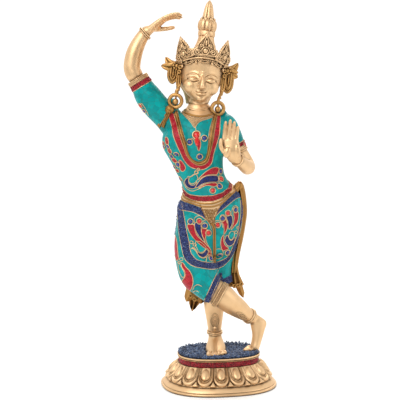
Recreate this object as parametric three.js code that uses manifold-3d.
// Standing figure of a mother goddess in brass, dressed in inlaid stone, on an oval lotus base.
// Millimetres, +Z up, the front of the base towards -Y, origin at the centre of the base's underside.
import * as THREE from 'three';
import { mergeVertices } from 'three/addons/utils/BufferGeometryUtils.js';
import Module from 'manifold-3d';

const wasm = await Module();
wasm.setup();

// Driving dimensions
const GAP = 0.3; // clearance between pieces that touch
const FIGURE_TURN = -10; // degrees, how far the figure stands turned on its base
const BED_TOP = 69; // where the feet stand
const BASE_LIP = { width: 245, depth: 214 };
const BASE_DRUM = { width: 170, depth: 125 };
const BASE_RIM = { width: 177, depth: 132, z: 66.5 };
const OVAL_POWER = 2.4; // how square the plan of the base is, 2 is an ellipse
const BAND = { low: 51, high: 62.5, thick: 3.4 };
const PETALS = { count: 18, low: 18, high: 50, half: 14.5, thick: 8.5, boss: 0.5, turn: 0.19 };
const HEAD = { at: [-39, -2, 646], yaw: 5, roll: 5.5 }; // degrees
const CROWN = { radius: 48, depth: 50, front: 49, side: 40 };
const LEAF = { width: 49, height: 45, thick: 4, lean: 8, splay: 11 }; // degrees out, and to the side
const LEAVES = [0, 49, -49, 118, -118]; // degrees round the crown from the front
const EARRING = { radius: 12.4, wire: 3, drop: -49.5, out: 43 };
const FINGER = 4.1; // radius of a finger at its root
const BEAD = 3.5; // radius of a round stone
const FRONT = [-39.8, -2300, 650]; // the places of the stones are sighted from here
const BEAD_RISE = 0.55; // height of a stone over its radius

const { clamp, degToRad } = THREE.MathUtils;

// Shapes
// A row of numbers part of the way through a list of rows, on a smooth curve through them.
function rowAt(rows, share) {
  const last = rows.length - 1;
  const place = share * last;
  const first = Math.min(Math.floor(place), last - 1);
  const u = place - first;
  const [before, from, to, after] = [-1, 0, 1, 2].map((k) => rows[clamp(first + k, 0, last)]);
  return from.map((value, i) => {
    const lead = (to[i] - before[i]) / 2;
    const trail = (after[i] - value) / 2;
    const fall = value - to[i];
    return value + u * (lead + u * (-3 * fall - 2 * lead - trail + u * (2 * fall + lead + trail)));
  });
}

// Power of a sine or cosine that keeps its sign: the outline of a squared oval.
const squared = (value, power) => Math.sign(value) * Math.abs(value) ** (2 / power);

// Closed skin of rings from share 0 to share 1, shut by a point at each end.
function skin(sides, cuts, cornerAt) {
  const shape = new THREE.SphereGeometry(1, sides, cuts + 2);
  const corners = shape.attributes.position;
  for (let i = 0; i < corners.count; i++) {
    const ring = Math.floor(i / (sides + 1));
    const angle = ((i % (sides + 1)) % sides) * ((2 * Math.PI) / sides);
    const spread = ring === 0 || ring === cuts + 2 ? 0 : 1;
    corners.setXYZ(i, ...cornerAt(clamp((ring - 1) / cuts, 0, 1), angle, spread));
  }
  return shape;
}

// Upright body from level sections, top to bottom. Each row is height, left, right, front, back.
function trunk(rows, { sides = 14, power = 2 } = {}) {
  return skin(sides, rows.length - 1, (share, angle, spread) => {
    const [z, left, right, front, back] = rowAt(rows, share);
    const across = -squared(Math.cos(angle), power) * spread;
    const deep = -squared(Math.sin(angle), power) * spread;
    return [
      (left + right) / 2 + (across * (right - left)) / 2,
      (front + back) / 2 + (deep * (back - front)) / 2,
      z,
    ];
  });
}

// Body along a bent line. Each row is x, y, z, half width along `side` and half width across it.
function limb(rows, { sides = 10, side = [1, 0, 0] } = {}) {
  const step = 0.01;
  const point = (share) => new THREE.Vector3(...rowAt(rows, clamp(share, 0, 1)));
  return skin(sides, rows.length - 1, (share, angle, spread) => {
    const along = point(share + step).sub(point(share - step)).normalize();
    const first = new THREE.Vector3(...side).addScaledVector(along, -along.dot(new THREE.Vector3(...side)));
    first.normalize();
    const second = along.clone().cross(first);
    const row = rowAt(rows, share);
    const corner = new THREE.Vector3(...row);
    corner.addScaledVector(first, -Math.cos(angle) * row[3] * spread);
    corner.addScaledVector(second, Math.sin(angle) * row[4] * spread);
    return corner.toArray();
  });
}

// The rows of a limb with a raised band, such as a bangle, centred on the row at `place`.
function banded(rows, place, rise = 2.4, half = 2.6) {
  const [x, y, z, wide, deep] = rows[place];
  const from = new THREE.Vector3(...rows[Math.max(place - 1, 0)]);
  const to = new THREE.Vector3(...rows[Math.min(place + 1, rows.length - 1)]);
  const along = to.sub(from).normalize();
  const band = [-1.01, -1, 1, 1.01].map((shift, i) => {
    const at = new THREE.Vector3(x, y, z).addScaledVector(along, shift * half);
    const grow = i === 1 || i === 2 ? rise : 0;
    return [...at.toArray(), wide + grow, deep + grow];
  });
  return [...rows.slice(0, place), ...band, ...rows.slice(place + 1)];
}

// Turned (degrees) or aimed (its own +Z along `axis`), stretched and moved into place.
function placed(shape, at, { turn = [0, 0, 0], axis, size = [1, 1, 1] } = {}) {
  const spin = new THREE.Quaternion();
  if (axis) {
    spin.setFromUnitVectors(new THREE.Vector3(0, 0, 1), new THREE.Vector3(...axis).normalize());
  } else {
    spin.setFromEuler(new THREE.Euler(...turn.map(degToRad)));
  }
  const pose = new THREE.Matrix4().compose(new THREE.Vector3(...at), spin, new THREE.Vector3(...size));
  return shape.applyMatrix4(pose);
}

const ball = (at, size, { sides = 6, rings = 4, turn = [0, 0, 0] } = {}) =>
  placed(new THREE.SphereGeometry(1, sides, rings), at, { turn, size });

const hoop = (at, radius, wire, { axis = [0, 0, 1], sides = 12, size = [1, 1, 1] } = {}) =>
  placed(new THREE.TorusGeometry(radius, wire, 4, sides), at, { axis, size });

// Upright plate that faces the front, from an outline of [across, up] points.
function plate(outline, thick) {
  const face = new THREE.Shape(outline.map(([x, y]) => new THREE.Vector2(x, y)));
  const shape = new THREE.ExtrudeGeometry(face, { depth: thick, bevelEnabled: false });
  return shape.translate(0, 0, -thick / 2).rotateX(Math.PI / 2);
}

// Solids
function toSolid(shape) {
  shape.deleteAttribute('normal');
  shape.deleteAttribute('uv');
  const merged = mergeVertices(shape, 1e-4);
  return new wasm.Manifold(
    new wasm.Mesh({
      numProp: 3,
      vertProperties: new Float32Array(merged.attributes.position.array),
      triVerts: new Uint32Array(merged.index.array),
    }),
  );
}

function toShape(solid) {
  const { vertProperties, triVerts } = solid.getMesh();
  const shape = new THREE.BufferGeometry();
  shape.setAttribute('position', new THREE.BufferAttribute(vertProperties, 3));
  shape.setIndex(new THREE.BufferAttribute(triVerts, 1));
  shape.computeVertexNormals();
  return shape;
}

const joined = (shapes) => shapes.map(toSolid).reduce((whole, part) => whole.add(part));

// Head
const headPose = new THREE.Matrix4().compose(
  new THREE.Vector3(...HEAD.at),
  new THREE.Quaternion().setFromEuler(new THREE.Euler(0, degToRad(HEAD.roll), degToRad(HEAD.yaw), 'ZYX')),
  new THREE.Vector3(1, 1, 1),
);

function face() {
  const skull = trunk(
    [
      [64, -20, 20, -18, 24],
      [54, -38, 38, -38, 42],
      [40, -46, 46, -46, 49],
      [20, -43.5, 43.5, -44, 49],
      [0, -42, 42, -45, 47],
      [-15, -37, 37, -44, 40],
      [-27, -29, 29, -42, 30],
      [-36, -19, 19, -39, 18],
      [-42, -9, 9, -35, 4],
    ],
    { sides: 12 },
  );
  const nose = limb(
    [
      [0, -40, 12, 2.5, 4],
      [0, -46, 0, 3.5, 5],
      [0, -49, -11, 6, 6],
      [0, -42, -16, 5, 4],
    ],
    { sides: 6 },
  );
  const lids = [-1, 1].map((hand) => ball([hand * 18, -38.5, 3], [12, 6, 6]));
  const lips = [-23, -27.5].map((up) => ball([0, -41, up], [9.5, 4.5, 3]));
  return [skull, nose, ...lids, ...lips];
}

function crownLeaf(angle) {
  const half = LEAF.width / 2;
  const up = LEAF.height;
  const right = [
    [half * 0.95, 0],
    [half, up * 0.25],
    [half * 0.64, up * 0.4],
    [half * 0.58, up * 0.58],
    [half * 0.2, up * 0.82],
  ];
  const left = right.map(([x, y]) => [-x, y]).reverse();
  const leaf = plate([...right, [0, up], ...left], LEAF.thick);
  const jewel = ball([0, -LEAF.thick / 2, up * 0.3], [5.5, 4, 8], { sides: 5, rings: 3 });
  const round = degToRad(angle);
  const foot = THREE.MathUtils.lerp(CROWN.side, CROWN.front, (Math.cos(round) + 1) / 2);
  return [leaf, jewel].map((shape) => {
    shape.rotateY(degToRad(LEAF.splay) * Math.sign(angle)).rotateX(degToRad(LEAF.lean));
    return shape.translate(0, -CROWN.depth, 0).rotateZ(round).translate(0, 0, foot);
  });
}

function crown() {
  const tilt = (CROWN.front - CROWN.side) / CROWN.depth;
  const band = new THREE.TorusGeometry(1, 0.08, 4, 14);
  placed(band, [0, 0, CROWN.side + 2], { size: [CROWN.radius, CROWN.depth, 70] });
  const corners = band.attributes.position;
  for (let i = 0; i < corners.count; i++) {
    corners.setZ(i, corners.getZ(i) - Math.min(corners.getY(i), 0) * tilt);
  }
  return [band, ...LEAVES.flatMap(crownLeaf)];
}

function topknot() {
  const centre = 3.9;
  const row = (z, half) => [z, centre - half, centre + half, 4 - half, 4 + half];
  return [
    trunk(
      [
        row(166, 1.5), row(158, 8), row(144, 10.5), row(131, 12.5), row(128, 16), row(117, 19.5),
        row(105, 19.5), row(99, 21.5), row(95, 17.5), row(82, 18), row(68, 25), row(50, 36),
      ],
      { sides: 9 },
    ),
  ];
}

function earSide(hand) {
  const ear = ball([hand * 45, 3, 3], [5, 9, 15]);
  const lobe = limb(
    [
      [hand * 46, 0, -2, 8, 6],
      [hand * 42.5, -5, -20, 7, 5],
      [hand * 42, -10, -37, 4.5, 3.5],
      [hand * 43, -12, -50, 3.5, 3],
    ],
    { sides: 5 },
  );
  const ring = hoop([hand * EARRING.out, -12, EARRING.drop], EARRING.radius, EARRING.wire, {
    axis: [hand * 0.25, -1, 0],
    sides: 10,
  });
  const lock = ball([hand * 61, 6, 6], [10, 10, 25]);
  const star = [
    [hand * 44, 38], [hand * 56, 34], [hand * 64, 47], [hand * 69, 35], [hand * 79, 42],
    [hand * 77, 27], [hand * 86, 20], [hand * 75, 13], [hand * 60, 8], [hand * 44, 12],
  ];
  const ribbon = plate(hand < 0 ? star.reverse() : star, 8);
  const rosette = ball([hand * 57, -3, 26], [9, 7, 9], { rings: 3 });
  return [ear, lobe, ring, lock, ribbon, rosette];
}

function head() {
  const shapes = [...face(), ...crown(), ...topknot(), ...earSide(-1), ...earSide(1)];
  return shapes.map((shape) => shape.applyMatrix4(headPose));
}

// Body
function torso() {
  const chest = trunk(
    [
      [596, -63, -23, -15, 20],
      [586, -70, -13, -20, 24],
      [577, -82, -3, -26, 27],
      [568, -98, 14, -32, 29],
      [556, -110, 26, -40, 33],
      [540, -116, 28, -47, 35],
      [523, -119, 20, -50, 36],
      [506, -117, 12, -47, 36],
      [489, -108, 9, -43, 35],
      [472, -98, 8.5, -40, 33],
      [455, -90, 10.5, -39, 33],
      [440, -82, 17, -41, 35],
      [425, -77, 30, -45, 39],
      [408, -76, 43, -49, 45],
      [388, -86, 49, -51, 52],
      [366, -90, 51, -51, 56],
      [340, -91, 49, -50, 54],
      [310, -90, 41, -48, 46],
      [285, -84, 32, -42, 36],
    ],
    { sides: 14 },
  );
  const shoulders = [[-99, 6, 594], [4, 6, 572]].map((at) => ball(at, [14, 13, 16]));
  const bust = [[-82, -30, 524], [-30, -31, 522]].map((at) => ball(at, [31, 22, 31], { sides: 8, rings: 5 }));
  const neck = limb([
    [-43.5, 4, 578, 22, 22],
    [-43, 3, 592, 20.5, 20.5],
    [-42, 3, 595, 18.5, 18.5],
    [-41.5, 3, 600, 19.8, 19.8],
    [-41, 2, 604, 18.2, 18.2],
    [-40, 2, 620, 19, 20],
  ]);
  return [chest, ...shoulders, ...bust, neck];
}

function legs() {
  const frontThigh = limb([
    [-44, 2, 400, 30, 36],
    [-50, -3, 342, 40.5, 46],
    [-53, -12, 300, 42.5, 42],
    [-48, -26, 265, 41.5, 40],
    [-41, -36, 243, 41, 39],
    [-36, -38, 222, 33, 34],
    [-34, -38, 206, 18, 18],
  ]);
  const frontKnee = limb(
    banded(
      [
        [-50, -36, 252, 28, 30],
        [-40, -38, 240, 38, 37],
        [-26, -41, 224, 34, 34],
        [-14, -42, 213, 29, 29.5],
      ],
      3,
      2,
      2,
    ),
  );
  const frontShin = limb(
    banded(
      [
        [-28, -41, 222, 24, 24],
        [-8, -38, 207.5, 26, 26],
        [9, -35, 195.5, 25.5, 25],
        [26, -27, 180, 23, 23],
        [41, -17, 167.5, 21, 20],
        [56, -3, 153.5, 17, 16],
        [67, 6.5, 145, 14, 14.2],
        [75, 12, 138, 13, 13],
      ],
      6,
    ),
  );
  const backThigh = limb(
    [
      [12, 10, 400, 26, 36],
      [8.5, 10, 330, 35, 42],
      [0, 10, 280, 33, 38],
      [-3, 9, 250, 30, 37],
      [-2, 9, 220, 31, 38],
    ],
  );
  const backShin = limb(
    banded(
      [
        [-3, 14, 240, 25, 27],
        [-6, 17, 205, 25, 28],
        [-9, 20, 170, 22.5, 25],
        [-8.5, 25, 135, 17.5, 19],
        [-8, 29, 107, 14, 15],
        [-7.5, 30, 90, 14, 16],
      ],
      4,
    ),
  );
  const core = ball([-15, -13, 214], [22, 22, 28]);
  return [frontThigh, frontKnee, frontShin, backThigh, backShin, core];
}

function feet() {
  const sole = BED_TOP + GAP;
  const flatFoot = trunk(
    [
      [104, -21, 6, 16, 43],
      [95, -21.5, 7.5, 9, 46],
      [86, -23.5, 11, -2, 50],
      [76, -26.5, 15, -16, 51],
      [sole, -25, 14, -17, 49],
    ],
    { sides: 10 },
  );
  const flatToes = [
    [-19, -13, 6.3, 15], [-9.5, -15, 4.6, 12], [-1.5, -12, 4.4, 11], [6, -8, 4.2, 10.5], [12, -3, 4, 10],
  ].map(([x, y, wide, long]) => ball([x, y, sole + 4.6], [wide, long, 4.5], { sides: 5, rings: 3 }));
  const raisedFoot = trunk(
    [
      [148, 65, 82, 1, 19],
      [139, 65, 96, 0, 23],
      [131, 67, 105.5, 1, 26],
      [121, 69, 102.5, 1, 28],
      [105, 70, 96, 1, 29],
      [90, 68, 90, 1, 30],
      [76, 60, 85, 2, 31],
      [sole, 62, 80, 4, 28],
    ],
    { sides: 10 },
  );
  const raisedToes = [
    [57, 6.5, 9.5, 5], [58.5, 14.5, 8, 4.2], [60.5, 21.5, 7.5, 4], [62.5, 27.5, 7, 3.6],
  ].map(([x, y, long, wide]) => ball([x, y, sole + 5], [long, wide, 4.8], { sides: 5, rings: 3 }));
  return [flatFoot, ...flatToes, raisedFoot, ...raisedToes];
}

// Finger from its root to its tip, bowed out by `bow` in the middle.
function finger(root, tip, bow, radius = FINGER) {
  const from = new THREE.Vector3(...root);
  const to = new THREE.Vector3(...tip);
  const out = new THREE.Vector3(...bow);
  const rows = [0, 0.5, 0.9, 1].map((share, i) => {
    const at = from.clone().lerp(to, share).addScaledVector(out, 4 * share * (1 - share));
    const half = radius * [1, 0.95, 0.75, 0.35][i];
    return [...at.toArray(), half, half];
  });
  return limb(rows, { sides: 5, side: [0.3, 1, 0.2] });
}

function raisedArm() {
  const sleeve = limb(
    banded(
      [
        [-84, 6, 540, 30, 31],
        [-107, 3, 569, 29, 29],
        [-129, 1, 590.5, 28, 27.5],
        [-143, 0, 607, 28, 27],
        [-152, 0, 620, 26.5, 26],
        [-160, -1, 634, 23, 23],
        [-170, -1, 650.5, 20.6, 20.6],
      ],
      6,
    ),
  );
  const forearm = limb(
    banded(
      [
        [-162, -1, 636, 11, 11],
        [-174.5, -1, 655, 17, 17],
        [-181, 0, 670, 17.5, 18],
        [-180, 0, 686, 17.5, 18],
        [-176, 0, 703, 17, 17.5],
        [-169.5, 0, 719, 15.4, 16],
        [-161, 0, 734, 13.6, 14.5],
        [-152.5, 0, 745.5, 12, 12.5],
        [-143, -1, 752, 9.5, 12.5],
      ],
      7,
    ),
    { sides: 8 },
  );
  const backOfHand = [-0.4, 0.5, 0.7];
  const palm = limb(
    [
      [-150, 0, 747, 9.5, 11.5],
      [-140, -1, 753.5, 8.5, 14],
      [-129, -1, 761, 7.5, 16.5],
      [-118, -2, 769, 6.8, 16],
      [-111, -2, 774, 5, 14],
    ],
    { side: backOfHand, sides: 8 },
  );
  const across = [-0.27, -0.84, 0.45];
  const fingers = [-11.5, -4, 3.5, 10.5].map((shift, i) => {
    const root = [-114, -2, 772].map((value, k) => value + across[k] * shift);
    const tip = [[-78, 4, 775], [-76, 1, 778], [-77, -3, 781], [-81, -8, 784.5]][i];
    return finger(root, tip, [1, 0, 4]);
  });
  const thumb = finger([-134, 8, 752], [-92, 11, 757], [2, 1, -1], 5.2);
  return [sleeve, forearm, palm, ...fingers, thumb];
}

function loweredArm() {
  const sleeve = limb(
    banded(
      [
        [0, 5, 562, 22, 26],
        [11, 6, 551, 27, 28],
        [23, 9, 531, 25, 26],
        [31, 12, 514, 23, 24],
        [37, 13, 500, 21.5, 22],
      ],
      4,
    ),
  );
  const elbow = limb(
    banded(
      [
        [38, 13, 503, 18, 18],
        [47.5, 14, 486, 18.5, 18.5],
        [56, 13, 472, 18, 18],
        [60, 3, 465.5, 16.5, 16],
        [57, -14, 467.5, 15, 15],
        [50, -34, 474, 13.5, 13.5],
        [38.5, -57, 484, 11.8, 11.5],
        [33, -66, 488, 11.5, 10],
      ],
      6,
    ),
    { sides: 8 },
  );
  const palm = limb(
    [
      [33, -63, 485, 12, 9.5],
      [29, -68, 494, 15, 9],
      [25, -71, 506, 17.3, 8.5],
      [22.5, -71, 518, 17.3, 7],
      [21.5, -71, 528, 16.3, 5.5],
    ],
    { sides: 8 },
  );
  const fingers = [
    [[9, -71, 525], [12.5, -74, 565]],
    [[17.5, -71, 527], [22, -75, 568.5]],
    [[26, -71, 527], [30, -74, 564.5]],
    [[33.5, -71, 524], [37.5, -73, 555]],
  ].map(([root, tip]) => finger(root, tip, [0, 1.5, 0]));
  const thumb = finger([13, -74, 499], [3, -81, 530], [-5, -1, -2], 4.8);
  return [sleeve, elbow, palm, ...fingers, thumb];
}

// Belt, drape and sashes
function sashes() {
  const belt = hoop([-25.5, -3, 422], 1, 0.085, { axis: [-0.11, -0.4, 1], sides: 14, size: [54, 50, 75] });
  const drape = limb(
    [
      [-18, -50, 402, 19, 4],
      [-15, -51, 382, 14, 4],
      [-12, -50, 362, 5.5, 4.5],
      [-11, -48, 310, 4, 5],
      [-10, -43, 262, 3.5, 5],
    ],
    { sides: 6 },
  );
  const bow = limb(
    [
      [25, -12, 414, 6, 6],
      [34, -6, 434, 7, 7],
      [44, 0, 433, 6, 7],
      [48, 4, 412, 6.5, 8],
      [53, 6, 385, 6, 9],
      [53, 7, 345, 6, 10],
      [42.5, 9, 296, 6, 9.5],
      [34.5, 10, 262, 6, 9],
      [32, 10, 240, 6, 9],
    ],
    { sides: 5 },
  );
  const pleats = [
    [[33, 10, 246], [22, 6, 208], 8], [[33, 10, 246], [37, 8, 206], 9],
    [[32, 18, 236], [42, 18, 180], 9], [[34, 18, 240], [50, 20, 178], 6],
    [[-46, 22, 216], [-74, 24, 166], 8], [[-46, 24, 222], [-58, 27, 144], 10],
    [[-40, 24, 216], [-42, 28, 158], 10], [[-30, 24, 208], [-28, 28, 148], 9],
  ].map(([root, tip, wide]) => {
    const rows = [0, 0.7, 1].map((share, i) => {
      const at = new THREE.Vector3(...root).lerp(new THREE.Vector3(...tip), share);
      return [...at.toArray(), wide * [0.6, 1, 0.3][i], [5, 4.5, 1.5][i]];
    });
    return limb(rows, { sides: 4 });
  });
  const boss = ball([-103, -22, 586], [10, 9, 10]);
  const ties = [[-124, -14, 556], [-113, -24, 558]].map((tip) =>
    limb([[-103, -22, 584, 3.5, 3], [...tip, 3.5, 3]], { sides: 4, side: [1, -0.5, 0] }),
  );
  return [belt, drape, bow, ...pleats, boss, ...ties];
}

// Stones set on the dress: name, across, height, half width, half height, the way it is laid.
const STONES = [
  ['chest_drop', -45.5, 521.0, 4, 9.5, 6, 'coral'],
  ['chest_bead_left', -61.6, 518.8, BEAD, BEAD, 0, 'lapis'],
  ['chest_bead_right', -30.4, 525.8, BEAD, BEAD, 0, 'lapis'],
  ['chest_bead_low', -40.4, 488.2, BEAD, BEAD, 0, 'lapis'],
  ['plume_bead_top', 1.6, 456.9, BEAD, BEAD, 0, 'lapis'],
  ['plume_bead_upper', 3.1, 440.0, BEAD, BEAD, 0, 'coral'],
  ['plume_bead_lower', 0.6, 424.4, BEAD, BEAD, 0, 'lapis'],
  ['left_skirt_bead_outer', -59.7, 349.7, BEAD, BEAD, 0, 'lapis'],
  ['left_skirt_bead_upper', -40.4, 351.2, BEAD, BEAD, 0, 'coral'],
  ['left_skirt_bead_inner', -29.9, 341.6, BEAD, BEAD, 0, 'lapis'],
  ['left_skirt_bead_low', -21.8, 326.4, BEAD, BEAD, 0, 'coral'],
  ['right_skirt_bead_low', -3.4, 343.5, BEAD, BEAD, 0, 'coral'],
  ['right_skirt_bead_inner', 6.9, 357.1, BEAD, BEAD, 0, 'lapis'],
  ['right_skirt_bead_upper', 18.0, 368.4, BEAD, BEAD, 0, 'coral'],
  ['right_skirt_bead_outer', 33.4, 375.2, BEAD, BEAD, 0, 'lapis'],
  ['hem_bead_left', -18.2, 270.6, BEAD, BEAD, 0, 'lapis'],
  ['hem_bead_middle', 1.5, 280.6, BEAD, BEAD, 0, 'lapis'],
  ['hem_bead_right', 16.8, 284.9, BEAD, BEAD, 0, 'lapis'],
  ['sleeve_bead', 51.5, 513, 3.6, 3.6, 0, 'coral'],
];

const LOOKS = {
  brass: { color: 0xc9a45c, roughness: 0.32, metalness: 1 },
  coral: { color: 0xb01f2e, roughness: 0.35, metalness: 0 },
  lapis: { color: 0x232a66, roughness: 0.4, metalness: 0 },
};

function piece(name, shape, look) {
  const mesh = new THREE.Mesh(shape, new THREE.MeshStandardMaterial(LOOKS[look]));
  mesh.name = name;
  return mesh;
}

// A low dome laid on the dress where a line of sight from the front meets it.
function stone([name, x, z, wide, tall, lean, look], dress) {
  const eye = new THREE.Vector3(...FRONT);
  const line = new THREE.Raycaster(eye, new THREE.Vector3(x, 0, z).sub(eye).normalize());
  const [hit] = line.intersectObject(dress);
  const rise = Math.min(wide, tall) * BEAD_RISE;
  const shape = new THREE.SphereGeometry(1, 6, 3).scale(wide, tall, rise);
  shape.rotateZ(degToRad(lean));
  const out = hit.face.normal;
  const upright = new THREE.Vector3(0, 0, 1).addScaledVector(out, -out.z).normalize();
  const right = upright.clone().cross(out);
  const pose = new THREE.Matrix4().makeBasis(right, upright, out);
  pose.setPosition(hit.point.clone().addScaledVector(out, rise + GAP));
  return piece(name, toShape(toSolid(shape.applyMatrix4(pose))), look);
}

// Base
const oval = (z, width, depth) => [z, -width / 2, width / 2, -depth / 2, depth / 2];

function pedestal() {
  const { width, depth } = BASE_LIP;
  const slope = (level, inset) => oval(level, width - inset, depth - inset);
  const body = trunk(
    [
      oval(BASE_RIM.z, BASE_RIM.width, BASE_RIM.depth),
      oval(BAND.high + GAP, BASE_RIM.width, BASE_RIM.depth),
      oval(BAND.high + GAP, BASE_DRUM.width, BASE_DRUM.depth),
      oval(BAND.low - GAP, BASE_DRUM.width, BASE_DRUM.depth),
      oval(BAND.low - GAP, BASE_RIM.width + 2, BASE_RIM.depth + 2),
      oval(PETALS.high - 4, BASE_RIM.width + 2, BASE_RIM.depth + 2),
      slope(PETALS.low, 22),
      slope(PETALS.low - 2, 12),
      slope(8, 6),
      slope(7, 0),
      slope(0, 0),
    ],
    { sides: 28, power: OVAL_POWER },
  );
  return joined([body, ...petalAngles().flatMap(petal)]);
}

// Angles that put the petals evenly round the base.
function petalAngles() {
  const steps = 720;
  const at = (i) => {
    const angle = (i * 2 * Math.PI) / steps;
    const x = BASE_LIP.width * squared(Math.cos(angle), OVAL_POWER);
    return { angle, x, y: BASE_LIP.depth * squared(Math.sin(angle), OVAL_POWER) };
  };
  const walk = [0];
  for (let i = 1; i <= steps; i++) {
    const from = at(i - 1);
    const to = at(i);
    walk.push(walk[i - 1] + Math.hypot(to.x - from.x, to.y - from.y));
  }
  return Array.from({ length: PETALS.count }, (_, k) => {
    const goal = ((k + PETALS.turn) / PETALS.count) * walk[steps];
    return at(walk.findIndex((length) => length >= goal)).angle;
  });
}

// A petal hangs on the slope of the base with its round end down, and has a raised oval boss.
function petal(angle) {
  const edge = (half, deep) => [
    half * squared(Math.cos(angle), OVAL_POWER),
    deep * squared(Math.sin(angle), OVAL_POWER),
  ];
  const [lowX, lowY] = edge(BASE_LIP.width / 2 - 12, BASE_LIP.depth / 2 - 12);
  const [highX, highY] = edge(BASE_RIM.width / 2 + 1, BASE_RIM.depth / 2 + 1);
  const up = new THREE.Vector3(highX - lowX, highY - lowY, PETALS.high - PETALS.low);
  const long = up.length() / 2 + 2;
  up.normalize();
  const out = new THREE.Vector3(lowX, lowY, 0).normalize();
  out.addScaledVector(up, -out.dot(up)).normalize();
  const pose = new THREE.Matrix4().makeBasis(up.clone().cross(out), up, out);
  pose.setPosition((lowX + highX) / 2, (lowY + highY) / 2, (PETALS.low + PETALS.high) / 2);
  const leaf = new THREE.CylinderGeometry(0.7, 1, 1, 6).rotateX(Math.PI / 2).rotateZ(Math.PI);
  leaf.scale(PETALS.half, long, PETALS.thick).translate(0, 0, PETALS.thick * 0.2);
  const boss = new THREE.SphereGeometry(1, 6, 3).rotateX(Math.PI / 2);
  boss.scale(PETALS.half * PETALS.boss, long * PETALS.boss, PETALS.thick * 0.45);
  boss.translate(0, -long * 0.06, PETALS.thick * 0.7);
  return [leaf, boss].map((shape) => shape.applyMatrix4(pose));
}

function lapisBed() {
  const inset = 7;
  const bed = trunk(
    [
      oval(BED_TOP, BASE_RIM.width - inset - 4, BASE_RIM.depth - inset - 4),
      oval(BED_TOP - 1.4, BASE_RIM.width - inset, BASE_RIM.depth - inset),
      oval(BASE_RIM.z + GAP, BASE_RIM.width - inset, BASE_RIM.depth - inset),
    ],
    { sides: 24, power: OVAL_POWER },
  );
  return toShape(toSolid(bed));
}

function coralBand() {
  const wall = (grow) =>
    toSolid(
      trunk(
        [
          oval(BAND.high, BASE_DRUM.width + grow, BASE_DRUM.depth + grow),
          oval(BAND.low, BASE_DRUM.width + grow, BASE_DRUM.depth + grow),
        ],
        { sides: 28, power: OVAL_POWER },
      ),
    );
  const bow = 1; // what the flats of the ring bow in between their corners
  return toShape(wall(BAND.thick * 2).subtract(wall((GAP + bow) * 2)));
}

// The whole object
const dress = piece(
  'figure',
  toShape(joined([...torso(), ...legs(), ...feet(), ...raisedArm(), ...loweredArm(), ...sashes(), ...head()])),
  'brass',
);
const turned = new THREE.Group();
turned.rotation.z = degToRad(FIGURE_TURN);
turned.add(dress, ...STONES.map((row) => stone(row, dress)));

const model = new THREE.Group();
model.add(
  piece('pedestal', toShape(pedestal()), 'brass'),
  piece('lapis_bed', lapisBed(), 'lapis'),
  piece('coral_band', coralBand(), 'coral'),
  turned,
);

export default model;
